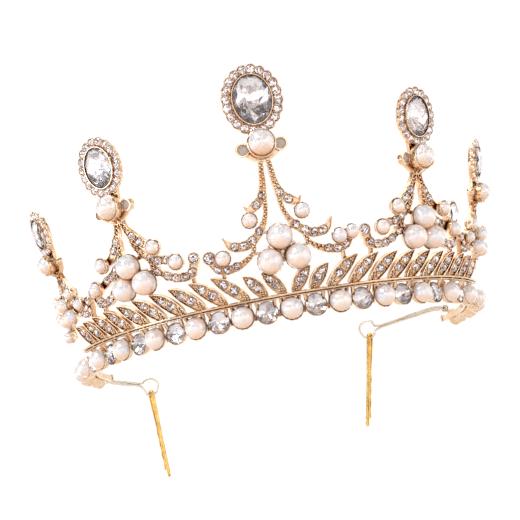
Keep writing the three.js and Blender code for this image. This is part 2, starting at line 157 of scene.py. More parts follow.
class Shape:
    """Points and faces gathered from many parts, each part with a material and smooth or flat faces."""

    def __init__(self):
        self.points, self.faces, self.kinds, self.smooth = [], [], [], []
        self.count = 0

    def add(self, part, place=None, kind=0, smooth=True):
        points, faces = part
        points = np.asarray(points, float).reshape(-1, 3)
        if place is not None:
            points = place(points) if callable(place) else rigid(place)(points)
        self.points.append(points)
        self.faces += [[i + self.count for i in face] for face in faces]
        self.kinds += [kind] * len(faces)
        self.smooth += [smooth] * len(faces)
        self.count += len(points)

    def make(self, name, materials, sharp=40):
        mesh = bpy.data.meshes.new(name)
        mesh.from_pydata((np.vstack(self.points) * MM).tolist(), [], self.faces)
        for material in materials:
            mesh.materials.append(material)
        mesh.polygons.foreach_set("material_index", self.kinds)
        mesh.polygons.foreach_set("use_smooth", self.smooth)
        mesh.update()
        mesh.set_sharp_from_angle(angle=math.radians(sharp))
        piece = bpy.data.objects.new(name, mesh)
        bpy.context.scene.collection.objects.link(piece)
        return piece


def loft(rings, loop=False):
    """Closed rings of points joined side by side, then closed at both ends or joined end to end."""
    n = len(rings[0])
    points = np.vstack(rings)
    faces = []
    for r in range(len(rings) if loop else len(rings) - 1):
        a, b = r * n, (r + 1) % len(rings) * n
        for i in range(n):
            j = (i + 1) % n
            faces.append([a + i, a + j, b + j, b + i])
    if not loop:
        faces.append(list(range(n))[::-1])
        last = (len(rings) - 1) * n
        faces.append(list(range(last, last + n)))
    return points, faces


def circle(n, start=0.0):
    return start + np.arange(n) * TAU / n


def lathe(profile, sides, core=(0.0, 0.0), flutes=0.0, hoop=False):
    """Rings of (radius, out) about the Z axis, each radius measured out from an ellipse with the core's half
    axes. Flutes of a depth wave all rings but those near the axis. A hoop is a ring with an open middle; its
    profile goes round from the inner bottom edge."""
    turn = circle(sides)
    rings = []
    for radius, out in profile:
        wave = flutes * np.cos(FLUTE_COUNT * turn) * (radius > 0.5)
        x = (core[0] + radius + wave) * np.cos(turn)
        y = (core[1] + radius + wave) * np.sin(turn)
        rings.append(np.column_stack((x, y, np.full(sides, out))))
    return loft(rings, hoop)


def ball(radius, across, up):
    turn = circle(across)
    rings = []
    for a in np.linspace(-math.pi / 2, math.pi / 2, up + 1):
        r, z = radius * max(math.cos(a), POLE_SHARE), radius * math.sin(a)
        rings.append(np.column_stack((r * np.cos(turn), r * np.sin(turn), np.full(across, z))))
    return loft(rings)


def spline(points, steps):
    """Catmull-Rom samples and unit tangents along a line of points of any width."""
    points = np.asarray(points, float)
    n = len(points)
    places, tangents = [], []
    for i in range(steps + 1):
        t = i / steps * (n - 1)
        k = min(int(t), n - 2)
        w = t - k
        a, b = points[max(k - 1, 0)], points[k]
        c, d = points[k + 1], points[min(k + 2, n - 1)]
        v0, v1 = (c - a) / 2, (d - b) / 2
        cubic, square = 2 * b - 2 * c + v0 + v1, -3 * b + 3 * c - 2 * v0 - v1
        places.append(cubic * w ** 3 + square * w ** 2 + v0 * w + b)
        tangent = 3 * cubic * w ** 2 + 2 * square * w + v0
        tangents.append(tangent / max(np.linalg.norm(tangent), 1e-9))
    return np.array(places), np.array(tangents)


def tube(points, radius, sides, steps=None):
    """A round wire along points in space."""
    places, tangents = spline(points, steps or 6 * (len(points) - 1))
    side = np.cross(tangents[0], (0.0, 0.0, 1.0))
    if np.linalg.norm(side) < 1e-3:
        side = np.array((1.0, 0.0, 0.0))
    turn = circle(sides)
    section = np.column_stack((np.cos(turn), np.sin(turn))) * radius
    rings = []
    for place, tangent in zip(places, tangents):
        side = side - tangent * (side @ tangent)
        side /= np.linalg.norm(side)
        other = np.cross(tangent, side)
        rings.append(place + section[:, :1] * side + section[:, 1:] * other)
    return loft(rings)


def channel(points, steps, back, front, rim=0.3, floor=0.35):
    """A strip of metal along a flat line of [x, y, half width], with raised rims beside a sunk floor."""
    line = np.asarray(points, float)
    places, _ = spline(line, steps)
    _, tangents = spline(line[:, :2], steps)
    rings = []
    for (x, y, half), (tx, ty) in zip(places, tangents):
        half = max(half, THINNEST_HALF)
        r = min(rim, half * 0.45)
        sunk = floor * min(1.0, half / 0.7)
        edge = [(half - r, front - sunk), (half - r * 0.8, front), (half - 0.1 * r, front),
                (half, front - 0.12), (half, back + 0.15), (half * 0.9, back)]
        section = [(-s, z) for s, z in edge[::-1]] + [(0, front - sunk * 0.9)] + edge
        rings.append(np.array([(x - ty * s, y + tx * s, z) for s, z in section[::-1]]))
    return loft(rings)


def brilliant(sx, sy, crown, depth, n):
    """A round or oval cut stone of n main facets, its girdle at 0: table, stars, kites and girdle facets
    above, mains below."""
    def ring(count, scale, z, offset):
        turn = circle(count, offset * TAU / n)
        return np.column_stack((sx * scale * np.cos(turn), sy * scale * np.sin(turn), np.full(count, z)))
    table = ring(n, TABLE_SHARE, crown, 0.5)
    kites = ring(n, (TABLE_SHARE + 1) / 2 + 0.03, crown * 0.55, 0.0)
    girdle = ring(2 * n, 1.0, 0.0, 0.0)
    lower = ring(2 * n, 1.0, -0.05 * min(sx, sy), 0.0)
    culet = ring(n, CULET_SHARE, -depth, 0.5)
    points = np.vstack((table, kites, girdle, lower, culet))
    # where each ring's points start
    t, m, g, w, c = 0, n, 2 * n, 4 * n, 6 * n
    faces = [[t + i for i in range(n)]]
    for i in range(n):
        j, h = (i + 1) % n, (i - 1) % n
        faces.append([t + h, m + i, t + i])
        faces.append([t + i, m + i, g + 2 * i + 1, m + j])
        faces.append([m + i, g + 2 * i, g + 2 * i + 1])
        faces.append([m + i, g + (2 * i - 1) % (2 * n), g + 2 * i])
        faces.append([w + 2 * i, c + i, w + 2 * i + 1])
        faces.append([w + (2 * i - 1) % (2 * n), c + h, w + 2 * i])
        faces.append([w + 2 * i, c + h, c + i])
        for k in (2 * i, 2 * i + 1):
            q = (k + 1) % (2 * n)
            faces.append([g + k, w + k, w + q, g + q])
    faces.append([c + i for i in range(n)][::-1])
    return points, faces


# ---- Materials ----

# a Mix node's factor, its two colours and its result
MIX_FACTOR, MIX_FIRST, MIX_SECOND, MIX_RESULT = 0, 6, 7, 2
EVEN = (1, 1, 1)


def mix_colours(tree, factor, first, second, blend="MIX"):
    """Mixes two colours; each input is another node's output or a plain value."""
    node = tree.nodes.new("ShaderNodeMix")
    node.data_type = "RGBA"
    node.blend_type = blend
    for socket, value in ((MIX_FACTOR, factor), (MIX_FIRST, first), (MIX_SECOND, second)):
        if isinstance(value, bpy.types.NodeSocket):
            tree.links.new(value, node.inputs[socket])
        else:
            node.inputs[socket].default_value = value
    return node.outputs[MIX_RESULT]


def colour_ramp(tree, factor, stops):
    node = tree.nodes.new("ShaderNodeValToRGB")
    bar = node.color_ramp
    while len(bar.elements) < len(stops):
        bar.elements.new(0.5)
    for element, (position, colour) in zip(bar.elements, stops):
        element.position = position
        element.color = (*colour, 1)
    tree.links.new(factor, node.inputs["Fac"])
    return node.outputs["Color"]


def map_range(tree, value, start, end, low=0.0, high=1.0):
    node = tree.nodes.new("ShaderNodeMapRange")
    node.inputs["From Min"].default_value = start
    node.inputs["From Max"].default_value = end
    node.inputs["To Min"].default_value = low
    node.inputs["To Max"].default_value = high
    tree.links.new(value, node.inputs["Value"])
    return node.outputs["Result"]


class Paint:
    """Builds one material's node tree."""

    def __init__(self, name):
        self.material = bpy.data.materials.new(name)
        self.material.use_nodes = True
        self.tree = self.material.node_tree
        self.shader = self.tree.nodes["Principled BSDF"]
        self.coordinates = self.tree.nodes.new("ShaderNodeTexCoord").outputs["Object"]

    def link(self, a, b):
        self.tree.links.new(a, b)

    def set(self, **values):
        for name, value in values.items():
            self.shader.inputs[name.replace("_", " ")].default_value = value
        return self

    def noise(self, size_mm, detail=3.0, stretch=EVEN):
        node = self.tree.nodes.new("ShaderNodeTexNoise")
        node.inputs["Scale"].default_value = 1 / (size_mm * MM)
        node.inputs["Detail"].default_value = detail
        mapping = self.tree.nodes.new("ShaderNodeMapping")
        mapping.inputs["Scale"].default_value = stretch
        self.link(self.coordinates, mapping.inputs["Vector"])
        self.link(mapping.outputs["Vector"], node.inputs["Vector"])
        return node.outputs["Fac"]

    def ramp(self, factor, stops):
        return colour_ramp(self.tree, factor, stops)

    def span(self, factor, low, high, start=0.3, end=0.7):
        """Maps the stretch of a factor between start and end to the one between low and high."""
        return map_range(self.tree, factor, start, end, low, high)

    def painted_hollow_shade(self, colour, shade_colour, distance_mm, closed, clear):
        """Painted shade: darkens a colour where others close the surface in, as shade falls there: wholly
        below one share of open sky, not at all above the other."""
        shade = self.tree.nodes.new("ShaderNodeAmbientOcclusion")
        shade.samples = 4
        shade.inputs["Distance"].default_value = distance_mm * MM
        factor = self.span(shade.outputs["AO"], 0.0, 1.0, closed, clear)
        return mix_colours(self.tree, factor, (*shade_colour, 1), colour)

    def colour(self, output):
        self.link(output, self.shader.inputs["Base Color"])

    def roughness(self, output):
        self.link(output, self.shader.inputs["Roughness"])

    def bump(self, height, distance_mm, strength):
        node = self.tree.nodes.new("ShaderNodeBump")
        node.inputs["Distance"].default_value = distance_mm * MM
        node.inputs["Strength"].default_value = strength
        self.link(height, node.inputs["Height"])
        self.link(node.outputs["Normal"], self.shader.inputs["Normal"])


def metal(name, pale, deep, shade_colour, rough, grain=0.9, stretch=EVEN):
    """Polished cast metal in two tones, with painted shade that darkens it in its creases, and a fine uneven
    skin.
    """
    paint = Paint(name).set(Metallic=1.0)
    tone = paint.ramp(paint.noise(5.0), [(0.35, deep), (0.65, pale)])
    # painted shade in the creases, in the given shade colour
    paint.colour(paint.painted_hollow_shade(tone, shade_colour, 1.6, 0.16, 0.9))
    paint.roughness(paint.span(paint.noise(1.3, stretch=stretch), *rough))
    paint.bump(paint.noise(grain, 4.0, stretch), 0.2, 0.6)
    return paint.material


def nacre(name):
    """Pearl: pale patches of cream, white and blue, with a painted warm reflection of the gold cup on its
    underside and painted warm shade where it meets its cup and its neighbours.
    """
    paint = Paint(name).set(IOR=1.7, Metallic=0.25, Coat_Weight=1.0, Coat_Roughness=0.05, Coat_IOR=1.6)
    patches = [(0.3, (0.94, 0.82, 0.78)), (0.5, (0.95, 0.90, 0.88)), (0.64, (0.80, 0.86, 0.98))]
    tint = paint.ramp(paint.noise(2.6, 2.0), patches)
    facing = paint.tree.nodes.new("ShaderNodeSeparateXYZ")
    paint.link(paint.tree.nodes.new("ShaderNodeNewGeometry").outputs["Normal"], facing.inputs[0])
    # painted reflection: faces that look down are tinted warm, as if the gold below lit them
    painted_gold_reflection_stops = [(0.0, (0.97, 0.66, 0.42)), (0.4, (0.99, 0.91, 0.84)), (0.75, (1, 1, 1))]
    painted_gold_reflection = paint.ramp(paint.span(facing.outputs["Z"], 0.0, 1.0, -0.95, 0.3), painted_gold_reflection_stops)
    tinted = mix_colours(paint.tree, 1.0, tint, painted_gold_reflection, "MULTIPLY")
    # painted warm shade where the pearl meets its cup and its neighbours
    paint.colour(paint.painted_hollow_shade(tinted, (0.92, 0.60, 0.38), 2.4, 0.1, 0.8))
    paint.roughness(paint.span(paint.noise(1.6), 0.10, 0.26))
    paint.bump(paint.noise(1.1, 3.0), 0.36, 0.75)
    return paint.material


def enamel(name, pale, deep):
    paint = Paint(name)
    paint.colour(paint.ramp(paint.noise(0.8), [(0.35, deep), (0.65, pale)]))
    paint.roughness(paint.span(paint.noise(0.6), 0.35, 0.55))
    return paint.material


def cut_glass(name):
    paint = Paint(name).set(IOR=1.35, Transmission_Weight=1.0, Alpha=1.0)
    paint.colour(paint.ramp(paint.noise(4.0), [(0.3, (0.93, 0.93, 0.97)), (0.7, (1.0, 0.98, 0.97))]))
    paint.roughness(paint.span(paint.noise(6.0), 0.0, 0.015))
    return paint.material


def mirror_facets_painted_glints(name, cell_mm, spread, pale, deep, rough, metallic):
    """A foiled stone: each little cell of the surface leans its own way and throws back its own light, and
    each cell is also painted its own tone from dark to white, as painted glints and dark reflections.
    """
    paint = Paint(name).set(Metallic=metallic, Coat_Weight=0.6, Coat_Roughness=0.02)
    cells = paint.tree.nodes.new("ShaderNodeTexVoronoi")
    cells.inputs["Scale"].default_value = 1 / (cell_mm * MM)
    paint.link(paint.coordinates, cells.inputs["Vector"])
    tone = paint.tree.nodes.new("ShaderNodeSeparateColor")
    paint.link(cells.outputs["Color"], tone.inputs["Color"])
    # painted glints and dark reflections: each cell's colour runs from the deep tone through the pale one to
    # white
    paint.colour(paint.ramp(tone.outputs["Red"], [(0.15, deep), (0.45, pale), (1.0, (1.0, 0.98, 0.99))]))
    paint.roughness(paint.span(tone.outputs["Green"], *rough))
    centred = paint.tree.nodes.new("ShaderNodeVectorMath")
    centred.operation = "SUBTRACT"
    centred.inputs[1].default_value = (0.5, 0.5, 0.5)
    paint.link(cells.outputs["Color"], centred.inputs[0])
    scaled = paint.tree.nodes.new("ShaderNodeVectorMath")
    scaled.operation = "SCALE"
    scaled.inputs["Scale"].default_value = spread
    paint.link(centred.outputs[0], scaled.inputs[0])
    surface = paint.tree.nodes.new("ShaderNodeNewGeometry")
    leaning = paint.tree.nodes.new("ShaderNodeVectorMath")
    paint.link(surface.outputs["Normal"], leaning.inputs[0])
    paint.link(scaled.outputs[0], leaning.inputs[1])
    unit = paint.tree.nodes.new("ShaderNodeVectorMath")
    unit.operation = "NORMALIZE"
    paint.link(leaning.outputs[0], unit.inputs[0])
    paint.link(unit.outputs[0], paint.shader.inputs["Normal"])
    return paint.material


# the third colour of each metal is the painted shade in its creases
GOLD = metal("rose_gold", (0.97, 0.79, 0.58), (0.89, 0.58, 0.35), (0.24, 0.08, 0.02), (0.08, 0.2))
# a dark metal for the rings at the stones' edges: painted shade where each stone meets its setting
RIM_SHADE_METAL = metal("stone_rim_shade", (0.42, 0.27, 0.18), (0.26, 0.15, 0.09), (0.06, 0.03, 0.02), (0.2, 0.35))
PIN_GOLD = metal("pin_gold", (0.93, 0.66, 0.24), (0.80, 0.50, 0.14), (0.35, 0.18, 0.05), (0.2, 0.34), 0.6,
                 (1, 1, 0.2))
WIRE = metal("wire_metal", (0.93, 0.82, 0.66), (0.80, 0.72, 0.62), (0.4, 0.3, 0.2), (0.14, 0.26), 0.4)
TAUPE = enamel("eyelet_floor", (0.60, 0.53, 0.50), (0.46, 0.39, 0.37))
PEARL = nacre("pearl_nacre")
GLASS = cut_glass("cut_glass")
# the pale and deep colours of the foiled stones are painted glints and dark reflections of their facets
FOIL = mirror_facets_painted_glints("foil_back", 2.2, 0.09, (0.92, 0.88, 0.87), (0.55, 0.50, 0.49), (0.01, 0.03), 0.68)
HALO_STONE = mirror_facets_painted_glints("halo_stone", 0.5, 0.95, (0.95, 0.87, 0.89), (0.32, 0.23, 0.23), (0.04, 0.1), 0.75)
RHINESTONE = mirror_facets_painted_glints("rhinestone", 0.5, 1.1, (0.84, 0.76, 0.79), (0.20, 0.13, 0.13), (0.04, 0.1), 0.8)


# ---- Small parts that repeat ----

# Material slots: of a piece of small stones, and of one cut stone
STONE, COLLAR, STONE_RIM, EYELET_FLOOR, HALO = range(5)
STONE_PAINTS = [RHINESTONE, GOLD, RIM_SHADE_METAL, TAUPE, HALO_STONE]
CLEAR, MIRROR, GLASS_RIM = range(3)
GLASS_PAINTS = [GLASS, FOIL, RIM_SHADE_METAL]
# Degrees above which an edge stays sharp
ALL_SHARP, STONE_SHARP = 1, 30


def ride(piece, body, nodes=()):
    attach(piece, body)
    if nodes:
        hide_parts(*nodes)


def set_stone(shape, matrix, radius, kind=STONE):
    """A small round stone in a thin collar, with a dark ring at its edge as painted shade where stone meets
    collar, its girdle at the matrix's origin.
    """
    collar = [(radius * 0.96, -0.5), (radius * 1.2, -0.5), (radius * 1.2, 0.02), (radius * 1.12, 0.14),
              (radius * 1.04, 0.12), (radius * 0.98, -0.02)]
    shape.add(lathe(collar, 16, hoop=True), matrix, COLLAR)
    # a dark ring at the stone's edge: painted shade where stone meets collar
    edge = [(radius * 0.88, -0.1), (radius * 1.06, -0.1), (radius * 1.06, 0.13), (radius * 0.97, 0.11)]
    shape.add(lathe(edge, 16, hoop=True), matrix, STONE_RIM)
    half = radius * 0.96
    stone = brilliant(half, half, radius * 0.38, radius * 0.4, 6)
    # the stones are turned by an amount that follows their size, so that neighbours differ
    shape.add(stone, matrix @ spin(radius * 7), kind, False)


def pearl_ball(shape, matrix, radius):
    shape.add(ball(radius, 32, 20), matrix)


def bead(shape, matrix, radius):
    shape.add(ball(radius, 8, 5), matrix)


def pearl_cup(shape, matrix, radius, reach=-15.0, wall=0.3, drop=0.0):
    """A fluted dish that holds a pearl from behind, up to an angle in degrees past its equator. A dropped
    dish sits lower than its pearl, and closer, so that it shows below and not above."""
    angles = np.radians(np.linspace(-82, reach, 7))

    def arc(size, turns):
        return [(size * math.cos(a), size * math.sin(a)) for a in turns]
    rim = arc(radius + wall / 2, [angles[-1] + 0.06])
    profile = arc(radius + wall, angles) + rim + arc(radius + 0.02 - drop, angles[::-1])
    shape.add(lathe(profile, 28, flutes=0.05), matrix @ shift(0, -drop, 0))


# ---- Base row ----

POSTED_STONES = 11


def side_name(k):
    return "centre" if k == 0 else ("left_" if k < 0 else "right_") + "%02d" % abs(k)


def front_share(angle):
    """1 at the front, falling to 0 sixty degrees round the head."""
    return math.cos(min(abs(angle) * 1.5, math.pi / 2))


def strip(turns, inner, outer, low, high, soft=0.15, dip=0.0):
    """An upright strip round the band, with softened edges, that may dip towards the front."""
    section = [(inner, low + soft), (inner + soft, low), (outer - soft, low), (outer, low + soft),
               (outer, high - soft), (outer - soft, high), (inner + soft, high), (inner, high - soft)]
    rings = []
    for a in turns:
        drop = dip * front_share(a) ** 2
        rings.append(np.array([(r * math.sin(a), -r * math.cos(a), z - drop) for r, z in section]))
    return loft(rings)


def build_base_row():
    band = Shape()
    turns = np.linspace(-END_CAP_ANGLE, END_CAP_ANGLE, 221)
    low, high = ROW_HEIGHT - STRIP_HALF_HEIGHT, ROW_HEIGHT + STRIP_HALF_HEIGHT
    band.add(strip(turns, STRIP_INNER, STRIP_OUTER, low, high))
    for side in (-1, 1):
        outline = ((-0.6, -1.26), (0.6, -1.26), (0.6, 1.26), (-0.6, 1.26))
        plate = [np.array([(x, y, z) for x, y in outline]) for z in (-0.2, 3.0)]
        band.add(loft(plate), row_frame(side * END_CAP_ANGLE, STRIP_INNER, ROW_HEIGHT + 0.3), 0, False)
    for k in range(-STONES_EACH_SIDE, STONES_EACH_SIDE + 1):
        here = row_frame(k * STONE_PITCH, BAND_RADIUS, ROW_HEIGHT)
        if k % 2 == 0:
            pearl_cup(band, here, PEARL_RADIUS, -8.0, 0.4)
            pearl = Shape()
            pearl_ball(pearl, here @ spin(k), PEARL_RADIUS - 0.02)
            ride(pearl.make("pearl_" + side_name(k), [PEARL]), BODY, ["row_pearl_" + side_name(k)])
        else:
            build_chaton(band, k, here)
        # little posts between a stone and the next tie the cups to the rail above
        if abs(k + 0.5) < POSTED_STONES:
            between = row_frame((k + 0.5) * STONE_PITCH, BAND_RADIUS, ROW_HEIGHT)
            for x in (-0.9, 0.9):
                post = [(x * 1.5, 1.4, -1.6), (x * 1.2, 2.9, -0.6), (x * 0.9, 4.6, 0.9)]
                band.add(tube(post, 0.72, 8), between)
    ride(band.make("band_casting", [GOLD]), BODY, ["base_band"])


def build_chaton(band, k, here):
    """A round crystal in its cup. Each is turned a little further than the last."""
    seat = here @ shift(0, 0, -0.7) @ spin(k * 1.3)
    cup = [(0.3, -3.9), (2.3, -3.8), (3.2, -2.6), (3.62, -0.9), (3.7, 0.05), (3.6, 0.25), (3.5, 0.2),
           (3.47, -0.3), (3.1, -1.4), (0.3, -3.1)]
    band.add(lathe(cup, 28), seat)
    stone = Shape()
    add_glass(stone, CHATON_RADIUS, CHATON_RADIUS, 1.35, 1.4, seat, 10)
    # a dark ring at the crystal's edge: painted shade where it meets its cup
    edge = [(3.3, -0.25), (3.5, -0.25), (3.5, 0.2), (3.42, 0.24)]
    stone.add(lathe(edge, 32, hoop=True), seat, GLASS_RIM)
    node = "row_crystal_" + side_name(k)
    nodes = [node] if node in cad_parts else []
    ride(stone.make("chaton_" + side_name(k), GLASS_PAINTS, ALL_SHARP), BODY, nodes)


def add_glass(shape, sx, sy, crown, depth, matrix, n=8):
    """Clear glass cut above, over a dish of mirror facets that fall to a point in three steps."""
    shape.add(brilliant(sx, sy, crown, depth * 0.12, n), matrix, CLEAR, False)
    rings = [(0.98, 0.06, 0.0, 2 * n), (0.72, 0.3, 0.5, 2 * n), (0.36, 0.75, 0.0, n), (0.06, 1.0, 0.5, n)]
    shape.add(faceted_dish(sx, sy, depth, rings), matrix, MIRROR, False)


def faceted_dish(sx, sy, depth, rings):
    """A faceted dish, open to the front, with a closed back. A ring is its share of the size, its share of
    the depth, its turn in steps of its own points, and its number of points: that of the ring before or half
    of it."""
    points, starts = [], []
    for scale, sunk, offset, count in rings:
        starts.append((len(points), count))
        points += [(sx * scale * math.cos(a), sy * scale * math.sin(a), -sunk * depth)
                   for a in circle(count, offset * TAU / count)]
    faces = []
    for (a, na), (b, nb) in zip(starts, starts[1:]):
        for i in range(nb):
            j = (i + 1) % nb
            if na == nb:
                faces.append([a + i, a + j, b + i])
                faces.append([a + j, b + j, b + i])
            else:
                p, q, r = 2 * i, (2 * i + 1) % na, (2 * i + 2) % na
                faces.append([a + p, a + q, b + i])
                faces.append([a + q, a + r, b + i])
                faces.append([a + r, b + j, b + i])
    last, count = starts[-1]
    faces.append([last + i for i in range(count)])
    # the back: the outer ring drops straight behind and closes
    count = rings[0][3]
    base = len(points)
    points += [(x, y, -depth - 0.15) for x, y, _ in points[:count]]
    for i in range(count):
        j = (i + 1) % count
        faces.append([j, i, base + i, base + j])
    faces.append([base + i for i in range(count)][::-1])
    return np.array(points), faces


# ---- Leaf frieze ----

# Each leaf's foot and sweep in degrees round the head, and the rise of its tip
LEAVES = [(1.1, 4.1, 12.2), (5.1, 4.1, 12.2)] + [(8.9 + 5 * i, 7.2, 13.9) for i in range(10)]
LEAF_BASE, LEAF_HALF_WIDTH = 5.1, 2.1
# Shares of a leaf's length, with the radius of a stone, or a grain's way off the middle and its radius
LEAF_STONES = ((0.36, 1.42), (0.64, 1.35))
LEAF_GRAINS = ((0.05, -0.5, 0.4), (0.05, 0.5, 0.4), (0.11, 0, 0.42), (0.17, -0.6, 0.4), (0.17, 0.6, 0.4),
               (0.22, 0, 0.4), (0.51, -1.1, 0.36), (0.51, 1.1, 0.36), (0.79, -0.55, 0.36), (0.79, 0.5, 0.36),
               (0.85, 0.1, 0.38), (0.91, 0.05, 0.3))
RAIL_END, RAIL_DIP = math.radians(62), 0.8
# Inner and outer radius, low and high edge, and softness of the rail's lip, its bead and the web behind them
RAIL_STRIPS = ((81.2, 82.6, 8.65, 9.35, 0.25), (81.0, 82.2, 8.0, 8.35, 0.12), (80.5, 81.4, 8.1, 9.2, 0.1))


def build_leaves():
    metal_part, stones = Shape(), Shape()
    for side in (-1, 1):
        for foot, sweep, top in LEAVES:
            add_leaf(metal_part, stones, side, math.radians(foot), math.radians(sweep), top)
    turns = np.linspace(-RAIL_END, RAIL_END, 125)
    for inner, outer, low, high, soft in RAIL_STRIPS:
        metal_part.add(strip(turns, inner, outer, low, high, soft, RAIL_DIP))
    ride(metal_part.make("leaf_casting", [GOLD]), BODY, ["leaf_frieze"])
    ride(stones.make("leaf_stones", STONE_PAINTS[:3], STONE_SHARP), BODY)


def add_leaf(metal_part, stones, side, foot, sweep, top):
    reach, rise = sweep * (BAND_RADIUS + 3), top - LEAF_BASE
    length = math.hypot(reach, rise)
    slope = math.atan2(rise, reach)
    angle = side * foot

    def along(u, off, lift=0.0):
        """The point a share of the way up the leaf and a step off its middle."""
        x = u * length * math.cos(slope) - off * math.sin(slope)
        return side * x, LEAF_BASE + u * length * math.sin(slope) + off * math.cos(slope) + lift
    stations = []
    for u in np.linspace(0, 1, 17):
        width = LEAF_HALF_WIDTH * math.sin(math.pi * u) ** 0.72 + 1.1 * (1 - u) ** 4
        bow = 0.35 * math.sin(math.pi * u)
        # the feet sink with the rail, which dips at the front
        sink = 0.5 * (1 - u) ** 2 * front_share(foot)
        stations.append((*along(u, bow, -sink), max(width, 0.16)))
    metal_part.add(channel(stations, 24, -0.75, 0.85, 0.38, 0.7), bent(angle))
    for u, radius in LEAF_STONES:
        set_stone(stones, on_bent(angle, 0, *along(u, 0, 0.3), 0.4), radius)
    for u, off, radius in LEAF_GRAINS:
        bead(metal_part, on_bent(angle, 0, *along(u, off, 0.15), 0.4), radius)


# ---- Crests ----

HEAD_SIDES = 72
GRAIN_STEP, GRAIN_RADIUS = 0.8, 0.48

# Lengths are flat on the crest: x from its middle line, y its rise above the row.
# head: rise, half width and half height, those of its oval, stones in the halo. finial: rise, radius.
# cups: how far they hold the small pearls, wall. arms: [x, y, half width] from the finial outwards.
# beads: arm, where its grains start and end. stones, ends, pearls, tips: x, y, radius.
# strut: x. triad: rise of the top and of the lower pearls, half their spacing, radius.
CENTRE = {
    "head": (64.8, 9.4, 10.7, 5.9, 7.4, 20),
    "finial": (51.3, 4.1), "eyelets": 1.0, "cups": (-6.0, 0.35),
    "arms": [
        [[1.05, 48.5, 0.75], [1.5, 43, 0.95], [2.0, 38.6, 1.15], [3.1, 35.2, 1.5], [5.2, 33.1, 1.55],
         [6.8, 32.3, 1.45], [8.0, 32.3, 0.9], [8.9, 33.4, 0.2]],
        [[1.9, 36, 0.7], [3, 29.5, 0.8], [5.4, 25.2, 1.3], [8.3, 22.7, 1.6], [11, 21.6, 1.6], [14, 22, 1.55],
         [15.8, 23.1, 1.2], [17.3, 25.3, 0.2]],
        [[7.9, 22.5, 0.7], [8.9, 19.1, 0.8], [12, 16.9, 1.1], [15, 15.9, 1.4], [18, 15.7, 1.4],
         [20.7, 16.8, 1.5], [22.5, 20.2, 1.7]],
    ],
    "beads": [(0, 0.02, 0.62), (1, 0.0, 0.36), (2, 0.02, 0.40)],
    "stones": [(2.8, 35.6, 1.25), (5.1, 33.2, 1.3), (5.8, 25.1, 1.2), (8.3, 22.8, 1.35), (11.0, 21.8, 1.3),
               (14.1, 22.1, 1.35), (14.7, 16.2, 1.2), (17.7, 15.8, 1.3), (20.6, 16.8, 1.3)],
    "ends": {-1: [(22.6, 20.6, 1.85)], 1: []},
    "pearls": {-1: [(8.0, 28.9, 2.25), (18.1, 19.5, 2.3)],
               1: [(8.0, 28.9, 2.25), (18.1, 19.5, 2.3), (22.4, 20.3, 2.1)]},
    "tips": [(8.9, 33.3, 0.4), (17.4, 25.4, 0.45)],
    "strut": 19.4, "triad": (22.4, 15.4, 4.3, 4.0),
}

MIDDLE = {
    "head": (57.9, 8.3, 9.5, 5.2, 6.5, 18),
    "finial": (44.6, 4.0), "eyelets": 0.92, "cups": (4.0, 0.5),
    "arms": [
        [[0.9, 42, 0.8], [1.5, 37.5, 1], [3.3, 33.8, 1.5], [5.5, 31.2, 1.6], [8.2, 29, 1.3], [10.9, 28, 1.2]],
        [[2.4, 34.5, 0.8], [3, 30.5, 0.8], [4.8, 27.3, 1], [7.4, 25.2, 1.4], [9.8, 23.7, 1.5],
         [12.9, 23, 1.5], [16.8, 21.4, 1.1]],
        [[7, 25, 0.7], [7.6, 21.6, 0.8], [11.2, 18.2, 1.2], [14.2, 16.7, 1.4], [17, 16.3, 1.5], [20, 17, 1.5],
         [22, 21.2, 1.6]],
    ],
    "beads": [(0, 0.02, 0.36), (1, 0.0, 0.36), (2, 0.02, 0.2)],
    "stones": [(3.4, 33.7, 1.3), (5.6, 31.2, 1.35), (7.4, 25.2, 1.2), (9.8, 23.7, 1.3), (12.8, 23.1, 1.25),
               (8.6, 20.2, 1.15), (11.5, 18.1, 1.25), (14.2, 16.8, 1.3), (17, 16.4, 1.3), (20, 17.2, 1.3)],
    "ends": {-1: [(22.1, 21.2, 1.65)], 1: [(22.1, 21.2, 1.65)]},
    "pearls": {-1: [(10.9, 28, 2.3), (16.8, 21.6, 2.3)], 1: [(10.9, 28, 2.3), (16.8, 21.6, 2.3)]},
    "tips": [],
    "strut": 19.4, "triad": (24.6, 18.1, 4.1, 4.0),
}


def squeezed(crest):
    """The outer crests repeat the middle ones, narrower and lower."""
    narrow = 0.66

    def low(rise):
        return 14 + (rise - 14) * 0.8

    def thin(rows):
        return [[x * narrow, low(rise), size * 0.85] for x, rise, size in rows]
    return {**crest,
            "head": (50.2, 7.0, 8.0, 4.4, 5.5, 16),
            "finial": (38.6, 3.4), "eyelets": 0.7,
            "arms": [thin(line) for line in crest["arms"]],
            "stones": thin(crest["stones"]),
            "ends": {side: thin(rows) for side, rows in crest["ends"].items()},
            "pearls": {side: thin(rows) for side, rows in crest["pearls"].items()},
            "strut": crest["strut"] * narrow, "triad": (22.6, 17.6, 2.9, 2.7)}


def ellipse_steps(a, b, count):
    """Angles that part an ellipse's edge into equal lengths."""
    fine = np.linspace(0, TAU, 721)
    edge = np.column_stack((a * np.cos(fine), b * np.sin(fine)))
    run = np.concatenate(([0], np.cumsum(np.linalg.norm(np.diff(edge, axis=0), axis=1))))
    return np.interp((np.arange(count) + 0.5) / count * run[-1], run, fine)


